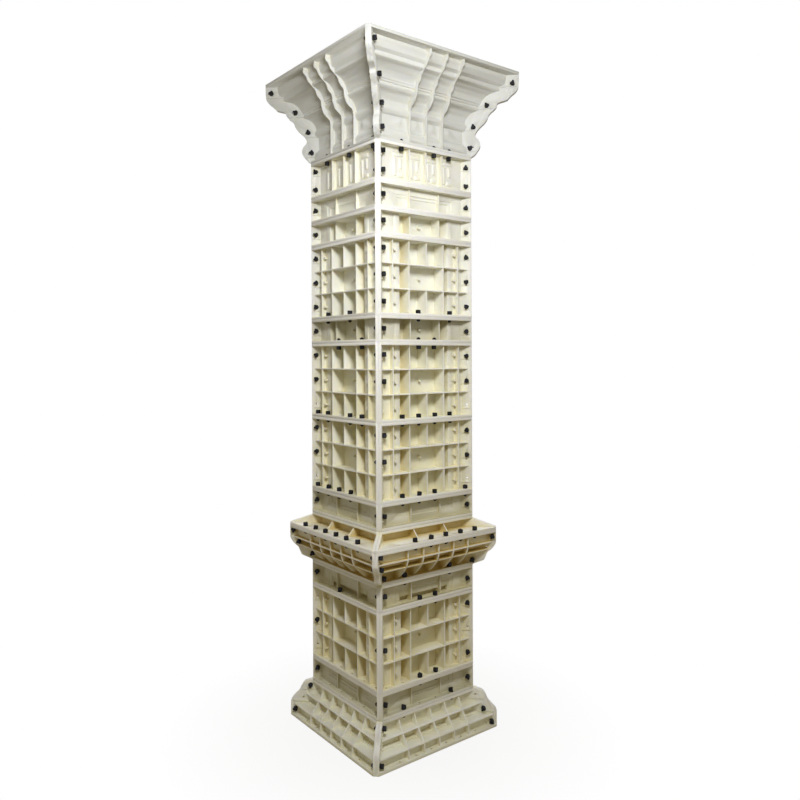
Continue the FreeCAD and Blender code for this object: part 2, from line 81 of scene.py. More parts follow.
RIB_WALL = 5 * MM
RIB_PITCH = 82 * MM
TALL_RIBS = [side * x * MM for side in (-1, 1) for x in (86, 164)] + [0.0]
RIB_EDGE = SKIN + 19 * MM
LOW_RIB = 73 * MM
LOW_RIB_EDGE = SKIN + 8 * MM
GUSSET_PITCH = 75 * MM
BOLT_PITCH = 80 * MM
BOLT_INSET = 16 * MM
BOLT_TWIST = math.radians(47)
HEAD_LOBES = 0.28
HOLE_RADIUS = 4.5 * MM
HOLE_OVERRUN = 2 * MM
WEB_REACH = 55 * MM
CORNICE_LEVEL_RIBS = (65 * MM, 96 * MM)
BASE_LEVEL_RIBS = (47.5 * MM, 92.5 * MM)

# The sunk field of the tall panels: a raised border and a bevel down to the floor of the field
BORDER_HALF = 146 * MM
BORDER_RISE = 2.5 * MM
BORDER_SLOPE = 3 * MM
FIELD_HALF = 121 * MM
FIELD_BEVEL = 14 * MM
FIELD_DROP = 40 * MM

# Half width, end and drop of the shallow frames in which the field ends on a band
END_FRAMES = ((146 * MM, 64 * MM, 2.5 * MM), (127 * MM, 52 * MM, 2.5 * MM))
SLOT_FRAME = (120 * MM, 30 * MM, 20 * MM)
FRAME_SLOPE = 2 * MM

# How a mesh is made: the rise of an outline's level stretches, the least step between two heights or
# columns, rounded edges, angles that count as sharp or flat, sides of round pieces, a place off the panel
LEVEL_RISE = 2 * MM
LEAST_STEP = 1.8 * MM
EDGE_ROUND = 1.1 * MM
SHARP_ANGLE = math.radians(32)
FLAT_ANGLE = math.radians(0.5)
ROUND_SIDES = 12
FLARE_STEPS = 5
FAR = 1.0

# Small forms: pegs on the wall, ledges under the corner bolts, relief of frieze and capital
PEG_RADIUS = 5 * MM
PEG_LENGTH = 15 * MM
PEG_X = 150 * MM
LEDGE_DROP = 16 * MM
LEDGE_WALL = 2.5 * MM
LEDGE_REACH = 4 * MM
LEDGE_SHORT = 6 * MM
RELIEF = 3.5 * MM

# Camera at eye level in front of the near corner: metres, degrees, and millimetres for lens and sensor
CAMERA_PLACE = (2.4636, -1.8526, 1.5)
CAMERA_TURN = (90, 0.234, 52.364)
CAMERA_LENS = 33.582
CAMERA_SENSOR = 36
CAMERA_SHIFT = -0.0556

# Light: a near lamp in front of the near corner, a weaker one behind, and a low level from all sides
LAMP = (1.5, -0.95, 2.5)
LAMP_AIM = (0.0, 0.0, 1.0)
LAMP_SIZE = 0.4
LAMP_POWER = 31
BACK_LAMP = (-1.4, 1.2, 3.3)
BACK_LAMP_POWER = 22
LAMP_COLOUR = (0.94, 0.96, 1.0)
WORLD_LIGHT = 0.26
WORLD_COLOUR = (1.0, 0.93, 0.74, 1)
FLOOR_COLOUR = (0.46, 0.40, 0.28, 1)
FLOOR_HALF = 12.0
SHADOW_WHITE = 0.9
SHADOW_END = 3 * BASE

# Shades of the plastic, which differ a little from ring to ring; the pale and dull ones are partly painted
# shade
PALE = (0.70, 0.70, 0.66)
WHITE = (0.92, 0.91, 0.84)
CREAM = (0.86, 0.85, 0.75)
DULL = (0.65, 0.63, 0.51)
# Painted shade from hollow to open: the plastic turns darker and yellower where it is hollow, faint or
# deep
FAINT_HOLLOW_SHADE = ((0.05, (0.92, 0.84, 0.62)), (0.55, (1.0, 1.0, 1.0)))
DEEP_HOLLOW_SHADE = ((0.35, (0.72, 0.58, 0.26)), (0.72, (1.0, 1.0, 1.0)))

# Painted light: edges and outer faces, where nothing stands close by, are mixed towards a whiter shade
OPEN_PAINTED_LIGHT = (0.88, 0.86, 0.81)
OPEN_LIGHT_RANGE = ((0.76, (0.0, 0.0, 0.0)), (0.96, (0.85, 0.85, 0.85)))

# Painted shade over the height of the mould, from the floor to the top: yellower low down, white at the
# top
HEIGHT_SHADE = (
    (0.04, (1.0, 1.0, 0.95)), (0.10, (0.94, 0.89, 0.70)), (0.22, (0.94, 0.89, 0.70)),
    (0.40, (0.96, 0.93, 0.79)), (0.52, (0.98, 0.96, 0.84)), (0.64, (1.0, 1.0, 0.98)),
)

# Marks in the plastic, in features per metre, and how far a hollow is felt by the painted shade and light
FLOW_MARKS = 3.0
SPECKS = 55.0
PANEL_GRAIN = 900.0
BOLT_MARKS = 60.0
BOLT_GRAIN = 700.0
GRAIN_DEPTH = 0.4 * MM
HOLLOW_REACH = 60 * MM


class Break:
    """A boundary between two columns of a panel: upright at x, or slanted along a corner's mitre."""

    def __init__(self, x=0.0, side=0, offset=0.0):
        self.x = x
        self.side = side
        self.offset = offset

    def place(self, depth, edge):
        """Where the boundary lies at a depth, with the flat tip of the corner flange cut off."""
        if not self.side:
            return self.x, depth
        depth = min(depth, edge - (SLANT - self.offset) / 2)
        return self.side * (depth - self.offset), depth


class Patch:
    """A stretch of wall between two xs and two heights that is raised, or sunk if rise is below zero.

    Its sides slope over slope_x and slope_z.
    """

    def __init__(self, xs, zs, rise, slope_x, slope_z):
        self.xs = xs
        self.zs = zs
        self.rise = rise
        self.slope_x = slope_x
        self.slope_z = slope_z

    def at(self, x, z):
        """The rise of the patch at a place on the wall."""
        across = min(x - self.xs[0], self.xs[1] - x) / self.slope_x
        up = min(z - self.zs[0], self.zs[1] - z) / self.slope_z
        return self.rise * max(0.0, min(across, up, 1.0))

    def columns(self):
        """The xs at which the patch bends."""
        low, high = self.xs
        return [low, low + self.slope_x, high - self.slope_x, high]

    def levels(self):
        """The heights at which the patch bends."""
        low, high = self.zs
        return [low, low + self.slope_z, high - self.slope_z, high]


def lattice(breaks, levels, depths, filled):
    """The closed surface of the filled cells of a grid, as a bmesh.

    depths[i][j] lists the depths of the layers at break i and level j. filled(i, k, j) says whether
    the cell after break i, layer k and level j is solid.
    """
    bm = bmesh.new()
    corners = {}

    def corner(i, k, j):
        x, depth = breaks[i].place(depths[i][j][k], depths[i][j][-1])
        key = (round(x, 6), round(depth, 6), round(levels[j], 6))
        if key not in corners:
            corners[key] = bm.verts.new((x, -depth, levels[j]))
        return corners[key]

    counts = (len(breaks) - 1, len(depths[0][0]) - 1, len(levels) - 1)

    def solid(cell):
        return all(0 <= c < n for c, n in zip(cell, counts)) and filled(*cell)

    ring = ((0, 0), (1, 0), (1, 1), (0, 1))
    cells = [(i, k, j) for i in range(counts[0]) for k in range(counts[1]) for j in range(counts[2])]
    for cell in filter(solid, cells):
        for axis in range(3):
            for step in (0, 1):
                neighbour = list(cell)
                neighbour[axis] += 2 * step - 1
                if solid(neighbour):
                    continue
                face = []
                for a, b in ring:
                    spot = list(cell)
                    spot[axis] += step
                    spot[(axis + 1) % 3] += a
                    spot[(axis + 2) % 3] += b
                    vertex = corner(*spot)
                    if vertex not in face:
                        face.append(vertex)
                if len(face) > 2 and not bm.faces.get(face):
                    bm.faces.new(face)
    bmesh.ops.dissolve_degenerate(bm, dist=1e-6, edges=bm.edges)
    bmesh.ops.recalc_face_normals(bm, faces=bm.faces)
    bmesh.ops.dissolve_limit(bm, angle_limit=FLAT_ANGLE, verts=bm.verts, edges=bm.edges)
    return bm


def smooth(points):
    """An outline with its corners cut twice, so that it runs smoothly. Its ends stay."""
    for _ in range(2):
        cut = [points[0]]
        for (x0, z0), (x1, z1) in zip(points, points[1:]):
            cut.append((0.75 * x0 + 0.25 * x1, 0.75 * z0 + 0.25 * z1))
            cut.append((0.25 * x0 + 0.75 * x1, 0.25 * z0 + 0.75 * z1))
        points = cut + [points[-1]]
    return points


def depth_at(outline, height):
    """How far out an outline lies at a height."""
    for (x0, z0), (x1, z1) in zip(outline, outline[1:]):
        if z0 <= height <= z1 and z1 > z0:
            return x0 + (x1 - x0) * (height - z0) / (z1 - z0)
    return outline[0][0] if height < outline[0][1] else outline[-1][0]


def outline_of(points):
    """Outline points in millimetres as metres, with level stretches given a small rise."""
    outline = []
    for x, z in points:
        z *= MM
        if outline and z - outline[-1][1] < LEVEL_RISE:
            z = outline[-1][1] + LEVEL_RISE
        outline.append((x * MM, z))
    return outline


def thinned(wanted, kept):
    """All values in kept, and those in wanted that lie clear of them and of each other."""
    values = sorted(kept)
    for value in sorted(wanted):
        if all(abs(value - other) > LEAST_STEP for other in values):
            values.append(value)
    return sorted(values)


def turned_cylinder(bm, centre, axis, radius, length):
    """Adds a closed cylinder around centre, along axis."""
    turn = Vector((0, 0, 1)).rotation_difference(axis).to_matrix().to_4x4()
    bmesh.ops.create_cone(
        bm, cap_ends=True, segments=ROUND_SIDES, radius1=radius, radius2=radius, depth=length,
        matrix=Matrix.Translation(centre) @ turn)


def box_between(bm, corners):
    """Adds a closed block from its four lower corners and its four upper ones."""
    verts = [bm.verts.new(corner) for corner in corners]
    faces = []
    for ring in ((3, 2, 1, 0), (4, 5, 6, 7), (0, 1, 5, 4), (1, 2, 6, 5), (2, 3, 7, 6), (3, 0, 4, 7)):
        faces.append(bm.faces.new([verts[index] for index in ring]))
    bmesh.ops.recalc_face_normals(bm, faces=faces)


def carrier_of(name, bm):
    """An object that carries a bmesh as its mesh."""
    mesh = bpy.data.meshes.new(name)
    bm.to_mesh(mesh)
    bm.free()
    carrier = bpy.data.objects.new(name, mesh)
    bpy.context.scene.collection.objects.link(carrier)
    return carrier


def finished(name, bm, holes):
    """A mesh with the holes cut and rounded edges."""
    carrier = carrier_of(name + "_carrier", bm)
    cutter = carrier_of(name + "_cutter", holes)
    for polygon in carrier.data.polygons:
        polygon.use_smooth = True
    cut = carrier.modifiers.new("holes", "BOOLEAN")
    cut.object = cutter
    cut.operation = "DIFFERENCE"
    cut.solver = "EXACT"
    bevel = carrier.modifiers.new("rounded edges", "BEVEL")
    bevel.width = EDGE_ROUND
    bevel.segments = 2
    bevel.limit_method = "ANGLE"
    bevel.angle_limit = SHARP_ANGLE
    bevel.harden_normals = True
    depsgraph = bpy.context.evaluated_depsgraph_get()
    mesh = bpy.data.meshes.new_from_object(carrier.evaluated_get(depsgraph))
    mesh.name = name
    for helper in (carrier, cutter):
        raw = helper.data
        bpy.data.objects.remove(helper)
        bpy.data.meshes.remove(raw)
    return mesh


class PanelPlan:
    """What one kind of panel looks like. Lengths are in metres, heights count from its lower joint.

    skin, rib_edge and corner_edge are outlines of depth over height: the wall's outer side and the
    free edges of the ribs and corner flanges. plates are level flanges: lower height, upper height,
    reach and the xs of their bolts. ribs are the xs of the upright ribs, level_ribs the heights of
    the level ones. gap gives the heights between which the middle rib is left out. patches raise or
    sink the wall, pegs are the xs and heights of round pegs. inner_rise shifts the wall's inner side
    up. bolt_rows is the number of bolts on a corner.
    """

    def __init__(self, name, height, skin, rib_edge, corner_edge, plates, ribs, bolt_rows,
                 level_ribs=(), gap=(0.0, 0.0), patches=(), pegs=(), inner_rise=0.0):
        self.name = name
        self.height = height
        self.skin = skin
        self.rib_edge = rib_edge
        self.corner_edge = corner_edge
        self.plates = plates
        self.ribs = ribs
        self.bolt_rows = bolt_rows
        self.level_ribs = level_ribs
        self.gap = gap
        self.patches = patches
        self.pegs = pegs
        self.inner_rise = inner_rise

    def wall(self, x, z):
        """The depth of the wall's outer side."""
        return depth_at(self.skin, z) + sum(patch.at(x, z) for patch in self.patches)

    def ribbed(self, x, z):
        """Whether an upright or a level rib runs here."""
        if any(abs(z - level) < RIB_WALL / 2 for level in self.level_ribs):
            return True
        if abs(x) < RIB_WALL / 2 and self.gap[0] < z < self.gap[1]:
            return False
        return any(abs(x - rib) < RIB_WALL / 2 for rib in self.ribs)

    def columns(self):
        """All column boundaries, from the left mitre to the right one."""
        kept = [rib + side * RIB_WALL / 2 for rib in self.ribs for side in (-1, 1)]
        wanted = [x for patch in self.patches for x in patch.columns() if abs(x) < INNER]
        left = [Break(side=-1), Break(side=-1, offset=SLANT)]
        right = [Break(side=1, offset=SLANT), Break(side=1)]
        return left + [Break(x) for x in thinned(wanted, kept)] + right

    def levels(self):
        """All heights at which something bends."""
        kept = {0.0, self.height}
        for low, high, _, _ in self.plates:
            kept |= {low, high}
        for level in self.level_ribs:
            kept |= {level - RIB_WALL / 2, level + RIB_WALL / 2}
        wanted = {z for patch in self.patches for z in patch.levels()}
        wanted |= {z for x, z in self.skin} | {z + self.inner_rise for x, z in self.skin}
        wanted |= {z for x, z in self.rib_edge} | {z for x, z in self.corner_edge}
        return thinned({z for z in wanted if 0 < z < self.height}, kept)

    def layers(self, x, z):
        """The depths at one place: inner side, wall, rib edge, plate edge and corner edge."""
        wall = self.wall(x, z)
        inner = min(self.wall(x, z - self.inner_rise) - WALL, wall - MM)
        edge = max(depth_at(self.corner_edge, z), wall + SLANT)
        rib = min(max(depth_at(self.rib_edge, z), wall + MM), edge)
        reaches = [reach for low, high, reach, _ in self.plates if low <= z <= high]
        plate = min(max([rib] + reaches), edge)
        return inner, wall, rib, plate, edge

    def seat(self, row):
        """The place of a corner bolt: its distance along the mitre and its height."""
        level = self.height * (row + 0.5) / self.bolt_rows
        middle = (self.wall(FAR, level) + depth_at(self.corner_edge, level) - SLANT) / 2
        return middle, level


def panel_mesh(plan):
    """The mesh of one kind of panel."""
    breaks = plan.columns()
    levels = plan.levels()
    depths = [[plan.layers(item.x if not item.side else FAR, z) for z in levels] for item in breaks]
    last = len(breaks) - 2

    def filled(i, k, j):
        level = (levels[j] + levels[j + 1]) / 2
        if k == 0 or i in (0, last):
            return True
        if any(low < level < high for low, high, _, _ in plan.plates):
            return k < 3
        if k > 1:
            return False
        x = (breaks[i].x + breaks[i + 1].x) / 2 if 1 < i < last - 1 else FAR
        return plan.ribbed(x, level)

    mesh = finished(plan.name, lattice(breaks, levels, depths, filled), bolt_holes(plan))
    bm = bmesh.new()
    bm.from_mesh(mesh)
    add_pegs(bm, plan)
    add_ledges(bm, plan)
    bm.to_mesh(mesh)
    bm.free()
    for polygon in mesh.polygons:
        polygon.use_smooth = True
    mesh.set_sharp_from_angle(angle=SHARP_ANGLE)
    return mesh


def add_pegs(bm, plan):
    """Round pegs that stand on the wall."""
    for x, z in plan.pegs:
        centre = Vector((x, -(plan.wall(x, z) + PEG_LENGTH / 2 - MM), z))
        turned_cylinder(bm, centre, Vector((0, -1, 0)), PEG_RADIUS, PEG_LENGTH)


def add_ledges(bm, plan):
    """A thin ledge on each corner flange under every bolt hole."""
    for row in range(plan.bolt_rows):
        level = plan.seat(row)[1] - LEDGE_DROP
        wall = plan.wall(FAR, level) - MM
        edge = depth_at(plan.corner_edge, level) - LEDGE_SHORT
        root, tip = SLANT - MM, SLANT + LEDGE_REACH
        spots = ((wall, root), (edge, root), (edge, tip), (wall, tip))
        for side in (-1, 1):
            corners = []
            for z in (level, level + LEDGE_WALL):
                for depth, offset in spots:
                    corners.append((side * (depth - offset), -depth, z))
            box_between(bm, corners)


def bolt_holes(plan):
    """The holes for the bolts, as a bmesh of closed cylinders."""
    bm = bmesh.new()
    length = FLANGE + 2 * HOLE_OVERRUN
    for row in range(plan.bolt_rows):
        middle, level = plan.seat(row)
        for side in (-1, 1):
            axis = Vector((side, 1, 0)).normalized()
            centre = Vector((side * middle, -middle, level)) - axis * FLANGE / 2
            turned_cylinder(bm, centre, axis, HOLE_RADIUS, length)
    for low, high, reach, bolt_xs in plan.plates:
        for x in bolt_xs:
            centre = Vector((x, BOLT_INSET - reach, (low + high) / 2))
            turned_cylinder(bm, centre, Vector((0, 0, 1)), HOLE_RADIUS, length)
    return bm


def flare(x_low, z_low, x_high, z_high):
    """A curve that starts steeply and bends outwards, as a parabola with a control point."""
    control_reach = 0.2
    control_rise = 0.8
    points = []
    for step in range(FLARE_STEPS + 1):
        way = step / FLARE_STEPS
        reach = way ** 2 + 2 * control_reach * way * (1 - way)
        rise = way ** 2 + 2 * control_rise * way * (1 - way)
        points.append((x_low + (x_high - x_low) * reach, z_low + (z_high - z_low) * rise))
    return points


def evenly(pitch, count):
    """Evenly spaced places around the middle."""
    return [pitch * (index - (count - 1) / 2) for index in range(count)]


def straight_panel(name, height, ribs, rib_edge, bolt_rows, rows=1, **details):
    """A panel of the straight shaft, with one or more rows of cells."""
    row_pitch = (height - 2 * FLANGE + RIB_WALL) / rows
    joint_bolts = evenly(BOLT_PITCH, 6)
    return panel_mesh(PanelPlan(
        name, height,
        skin=[(SKIN, 0.0), (SKIN, height)],
        rib_edge=[(rib_edge, 0.0), (rib_edge, height)],
        corner_edge=[(OUTER, 0.0), (OUTER, height)],
        plates=[(0.0, FLANGE, OUTER, joint_bolts), (height - FLANGE, height, OUTER, joint_bolts)],
        ribs=ribs,
        bolt_rows=bolt_rows,
        level_ribs=[FLANGE + row_pitch * row - RIB_WALL / 2 for row in range(1, rows)],
        **details))


def field():
    """The sunk field with its raised border, over the full height of a panel."""
    border = Patch((-BORDER_HALF, BORDER_HALF), (-FAR, FAR), BORDER_RISE, BORDER_SLOPE, BORDER_SLOPE)
    sunk = Patch((-FIELD_HALF, FIELD_HALF), (-FAR, FAR), -FIELD_DROP, FIELD_BEVEL, FIELD_BEVEL)
    return [border, sunk]


def end_frames(frames, height, upwards):
    """The shallow frames in which the field ends, open at the upper or lower joint."""
    patches = []
    for half, end, drop in frames:
        zs = (height - end, FAR) if upwards else (-FAR, end)
        patches.append(Patch((-half, half), zs, -drop, FRAME_SLOPE, FRAME_SLOPE))
    return patches


def tall_mesh(height):
    """Three rows of cells over the sunk field. The middle rib leaves out the middle row."""
    row = height / 3
    pegs = [(side * PEG_X, row * (index + 0.5)) for side in (-1, 1) for index in range(3)]
    return straight_panel(
        "tall", height, TALL_RIBS, RIB_EDGE, 3, rows=3, gap=(row, 2 * row), patches=field(),
        pegs=pegs + [(0.0, height / 2)])


def band_mesh(name, height, patches, pegs=()):
    """A low band with two low ribs."""
    return straight_panel(name, height, [-LOW_RIB, LOW_RIB], LOW_RIB_EDGE, 1, patches=patches, pegs=pegs)


def frieze_mesh(height):
    """Three ribs, and a plain stepped relief in each bay."""
    # Each bar: left and right in millimetres from the bay's middle, low and high as shares of the height
    bars = ((-24, 24, 0.70, 0.80), (-24, -10, 0.20, 0.67), (4, 18, 0.40, 0.67), (-4, 24, 0.18, 0.30))
    patches = []
    for bay in evenly(RIB_PITCH, 4):
        for left, right, low, high in bars:
            xs = (bay + left * MM, bay + right * MM)
            patches.append(Patch(xs, (low * height, high * height), RELIEF, BORDER_SLOPE, BORDER_SLOPE))
    return straight_panel("frieze", height, evenly(RIB_PITCH, 3), RIB_EDGE, 2, patches=patches)


def capital_mesh(height):
    """Neck, fillet, lower curve, two thin listels, upper curve, fillet and abacus under a wide lip."""
    top = height / MM
    lip = top - FLANGE / MM
    outer = CAPITAL / MM
    skin = [(227, 0), (227, 11), (231, 17), (232, 27), (231, 37), (227, 47), (218, 56)]
    skin += [(218, 107), (224, 110), (229, 116), (231, 125), (229, 134), (225, 140)]
    skin += flare(225, 142, 261, 190)
    skin += [(266, 195), (266, 200), (262, 203), (262, 206), (267, 209), (267, 214), (271, 217)]
    skin += flare(271, 219, 322, 266)
    skin += [(325, 268), (325, 283), (338, 292), (343, 312), (343, lip), (343, top)]
    rib_edge = [
        (238, 0), (238, 118), (240, 146), (266, 160), (281, 190), (283, 218), (301, 230), (308, 254),
        (342, 278), (352, 300), (366, 308), (364, lip), (364, top),
    ]
    corner_edge = [
        (242, 0), (253, 10), (271, 44), (268, 70), (252, 90), (263, 117), (288, 147), (294, 176),
        (317, 200), (318, 222), (342, 222), (357, 246), (377, 268), (outer, 296), (outer, top),
    ]
    drop_half = 16 * MM
    drop_zs = (0.20 * height, 0.31 * height)
    drops = [
        Patch((x - drop_half, x + drop_half), drop_zs, 2 * RELIEF, drop_half, drop_half)
        for x in evenly(RIB_PITCH, 4)
    ]
    return panel_mesh(PanelPlan(
        "capital", height, outline_of(skin), outline_of(smooth(rib_edge)), outline_of(smooth(corner_edge)),
        plates=[(0.0, FLANGE, OUTER, evenly(BOLT_PITCH, 6)), (height - FLANGE, height, CAPITAL, ())],
        ribs=evenly(RIB_PITCH, 3), bolt_rows=4, patches=drops, inner_rise=WALL))


def cornice_mesh(height):
    """A cove that flares up to a fascia under a wide rim, with curved ribs and two level ones."""
    top = height / MM
    rim = top - FLANGE / MM
    outer = CORNICE / MM
    wall = SKIN / MM
    skin = [(wall, 0), (wall, 24)] + flare(wall, 24, 268, 74)
    skin += [(270, 77), (270, 97), (288, 100), (288, top)]
    rib_edge = [
        (228, 0), (228, 10), (242, 17), (256, 29), (278, 50), (290, 66), (297, 80), (300, 95), (301, 110),
        (301, rim), (301, top),
    ]
    corner_edge = [
        (242, 0), (257, 3), (273, 14), (281, 38), (285, 54), (298, 66), (outer, 90), (outer, 104),
        (outer, top),
    ]
    bolts = evenly(GUSSET_PITCH, 6)
    return panel_mesh(PanelPlan(
        "cornice", height, outline_of(skin), outline_of(smooth(rib_edge)), outline_of(smooth(corner_edge)),
        plates=[(0.0, FLANGE, OUTER, bolts), (height - FLANGE, height, CORNICE, bolts)],
        ribs=evenly(GUSSET_PITCH, 5), bolt_rows=3, level_ribs=CORNICE_LEVEL_RIBS, inner_rise=WALL))


def cover_mesh(height):
    """A level plate, an upright wall with two webs and an upper flange."""
    under = height - FLANGE
    web_foot = SKIN + WEB_REACH
    web_head = OUTER - RIB_WALL
    return panel_mesh(PanelPlan(
        "cornice_cover", height,
        skin=[(SKIN, 0.0), (SKIN, height)],
        rib_edge=[(web_foot, 0.0), (web_foot, FLANGE), (web_head, under), (web_head, height)],
        corner_edge=[(CORNICE, 0.0), (CORNICE, FLANGE), (OUTER, under), (OUTER, height)],
        plates=[(0.0, FLANGE, CORNICE, evenly(GUSSET_PITCH, 6)), (under, height, OUTER, ())],
        ribs=evenly(2 * GUSSET_PITCH, 2), bolt_rows=0))


def base_mesh(height):
    """Three tiers that step out downwards to a wide lower flange, with gussets and level ribs."""
    top = height / MM
    under = top - FLANGE / MM
    outer = BASE / MM
    wall = SKIN / MM
    neck = OUTER / MM
    skin = [(281, 0), (281, 47), (259, 50), (259, 57), (240, 59), (240, 92), (222, 95), (222, under - 2)]
    skin += [(wall, under + 2), (wall, top)]
    rib_edge = [(305, 0), (305, 11), (299, 50), (260, 95), (neck - 5, under), (neck - 5, top)]
    corner_edge = [
        (outer, 0), (outer, 30), (outer, 66), (297, 84), (283, 104), (278, 124), (269, 142), (248, 147),
        (neck, top),
    ]
    return panel_mesh(PanelPlan(
        "base", height, outline_of(skin), outline_of(rib_edge), outline_of(smooth(corner_edge)),
        plates=[(0.0, FLANGE, BASE, evenly(GUSSET_PITCH, 6)), (height - FLANGE, height, OUTER, ())],
        ribs=evenly(GUSSET_PITCH, 5), bolt_rows=3, level_ribs=BASE_LEVEL_RIBS, inner_rise=-WALL))


def node_height(node):
    """The height of a CAD node."""
    low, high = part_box(node)
    return high.z - low.z


def place_panel(name, mesh, node, turns):
    """One panel turned to its side of the column and lifted to its joint, in place of a CAD node."""
    panel = bpy.data.objects.new(name, mesh)
    bpy.context.scene.collection.objects.link(panel)
    turn = Matrix.Rotation(math.radians(90 * turns), 4, "Z")
    panel.matrix_world = Matrix.Translation((0, 0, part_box(node)[0].z)) @ turn
    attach(panel, BODY)
    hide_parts(node)


def bolt_seats(node):
    """Where the bolts of a CAD group sit: a matrix per bolt, its Z out of the flange."""
    bm = bmesh.new()
    bm.from_mesh(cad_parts[node].data)
    bmesh.ops.remove_doubles(bm, verts=bm.verts, dist=1e-5)
    seats = []
    todo = set(bm.verts)
    while todo:
        island = set()
        front = [todo.pop()]
        while front:
            vertex = front.pop()
            island.add(vertex)
            near = {edge.other_vert(vertex) for edge in vertex.link_edges}
            front += list(near & todo)
            todo -= near
        seats.append(seat_of(island))
    bm.free()
    return seats


def seat_of(island):
    """The seat of one three-cornered head: its lower end lies on the flange that carries it."""
    faces = {face for vertex in island for face in vertex.link_faces}
    ends = []
    for face in faces:
        alike = [other for other in faces if other.normal.dot(face.normal) > 0.999]
        if len(alike) == 1:
            ends.append(face)
    ends.sort(key=lambda face: seat_distance(face.calc_center_median()))
    low, high = ends[0], ends[1]
    axis = (high.calc_center_median() - low.calc_center_median()).normalized()
    centre = low.calc_center_median()
    tip = max((v.co for v in low.verts), key=lambda co: tip_rank(co, centre))
    across = (tip - centre).normalized()
    side = axis.cross(across)
    return Matrix((
        (across.x, side.x, axis.x, centre.x),
        (across.y, side.y, axis.y, centre.y),
        (across.z, side.z, axis.z, centre.z),
        (0, 0, 0, 1),
    ))


def tip_rank(co, centre):
    """Orders the corners of a head, so that each bolt gets the same one."""
    return round((co - centre).dot(Vector((0.3, 0.2, 1.0))), 6)


JOINTS = sorted({round(corner.z, 4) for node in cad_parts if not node.endswith("bolts")
                 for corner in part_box(node)})


def seat_distance(point):
    """How far a point is from the nearest flange face, level or along a mitre."""
    level = min(abs(abs(point.z - joint) - FLANGE) for joint in JOINTS)
    mitre = abs(abs(abs(point.x) - abs(point.y)) - SLANT)
    return min(level, mitre)


def seat_order(seat):
    """A fixed order for the bolts, from the floor up."""
    return tuple(round(value, 4) for value in (seat.translation.z, seat.translation.x, seat.translation.y))


def ring_of(bm, radius, height, sides, lobes=0.0):
    """A ring of vertices. lobes draws it out to three rounded corners."""
    ring = []
    for step in range(sides):
        angle = 2 * math.pi * step / sides
        reach = radius * (1 + lobes * math.cos(3 * angle))
        ring.append(bm.verts.new((reach * math.cos(angle), reach * math.sin(angle), height)))
    return ring


def stack(bm, rings):
    """A closed piece from rings of vertices, one above the other."""
    for low, high in zip(rings, rings[1:]):
        for index in range(len(low)):
            after = (index + 1) % len(low)
            bm.faces.new((low[index], low[after], high[after], high[index]))
    bm.faces.new(list(reversed(rings[0])))
    bm.faces.new(rings[-1])


def bolt_mesh():
    """A bolt through two flanges: three-cornered head, washer, shank and nut."""
    bm = bmesh.new()
    head = (
        (7.6, 1.5), (8.3, 2.2), (8.4, 6), (8.3, 13.2), (7.8, 14.4), (6.9, 15.0), (3.6, 15.0), (3.0, 13.2),
    )
    stack(bm, [ring_of(bm, r * MM, z * MM, 36, lobes=HEAD_LOBES) for r, z in head])
    washer = ((8.6, 0.0), (9.0, 0.4), (9.0, 1.2), (8.6, 1.6))
    stack(bm, [ring_of(bm, r * MM, z * MM, 24) for r, z in washer])
    through = -2 * FLANGE
    shank = ((4.0, through - 9 * MM), (4.4, through - 8 * MM), (4.4, 1 * MM))
    stack(bm, [ring_of(bm, r * MM, z, 12) for r, z in shank])
    nut = ((6.8, -6.4), (7.6, -5.8), (7.6, -0.6), (6.8, 0.0))
    stack(bm, [ring_of(bm, r * MM, through + z * MM, 6) for r, z in nut])
    bmesh.ops.recalc_face_normals(bm, faces=bm.faces)
    mesh = bpy.data.meshes.new("bolt")
    bm.to_mesh(mesh)
    bm.free()
    return mesh


def bolts(name, node):
    """All bolts of one CAD group, as one piece."""
    one = bolt_mesh()
    bm = bmesh.new()
    for index, seat in enumerate(sorted(bolt_seats(node), key=seat_order)):
        copy = one.copy()
        copy.transform(seat @ Matrix.Rotation(index * BOLT_TWIST, 4, "Z"))
        bm.from_mesh(copy)
        bpy.data.meshes.remove(copy)
    mesh = bpy.data.meshes.new(name)
    bm.to_mesh(mesh)
    bm.free()
    for polygon in mesh.polygons:
        polygon.use_smooth = True
    mesh.set_sharp_from_angle(angle=SHARP_ANGLE)
    piece = bpy.data.objects.new(name, mesh)
    bpy.context.scene.collection.objects.link(piece)
    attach(piece, BODY)
    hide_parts(node)
    return piece


def new_material(name):
    """A material with its node tree and Principled shader."""
    material = bpy.data.materials.new(name)
    material.use_nodes = True
    tree = material.node_tree
    return material, tree, tree.nodes["Principled BSDF"]


def noise(tree, position, scale, detail, roughness=0.5):
    """A noise texture at a position, in features per metre."""
    node = tree.nodes.new("ShaderNodeTexNoise")
    node.inputs["Scale"].default_value = scale
    node.inputs["Detail"].default_value = detail
    node.inputs["Roughness"].default_value = roughness
    tree.links.new(position, node.inputs["Vector"])
    return node.outputs["Fac"]


def math_node(tree, operation, first, second):
    """A sum on two values, each a number or a socket."""
    node = tree.nodes.new("ShaderNodeMath")
    node.operation = operation
    for index, value in enumerate((first, second)):
        if isinstance(value, (int, float)):
            node.inputs[index].default_value = value
        else:
            tree.links.new(value, node.inputs[index])
    return node.outputs["Value"]


def ramp(tree, factor, stops):
    """Colours along a factor, as (position, colour) pairs."""
    node = tree.nodes.new("ShaderNodeValToRGB")
    elements = node.color_ramp.elements
    while len(elements) < len(stops):
        elements.new(0.5)
    for element, (position, colour) in zip(elements, stops):
        element.position = position
        element.color = (*colour, 1)
    tree.links.new(factor, node.inputs["Fac"])
    return node.outputs["Color"]


def multiplied(tree, first, second):
    """The product of two colours."""
    node = tree.nodes.new("ShaderNodeMix")
    node.data_type = "RGBA"
    node.blend_type = "MULTIPLY"
    node.inputs["Factor"].default_value = 1.0
    tree.links.new(first, node.inputs["A"])
    tree.links.new(second, node.inputs["B"])
    return node.outputs["Result"]


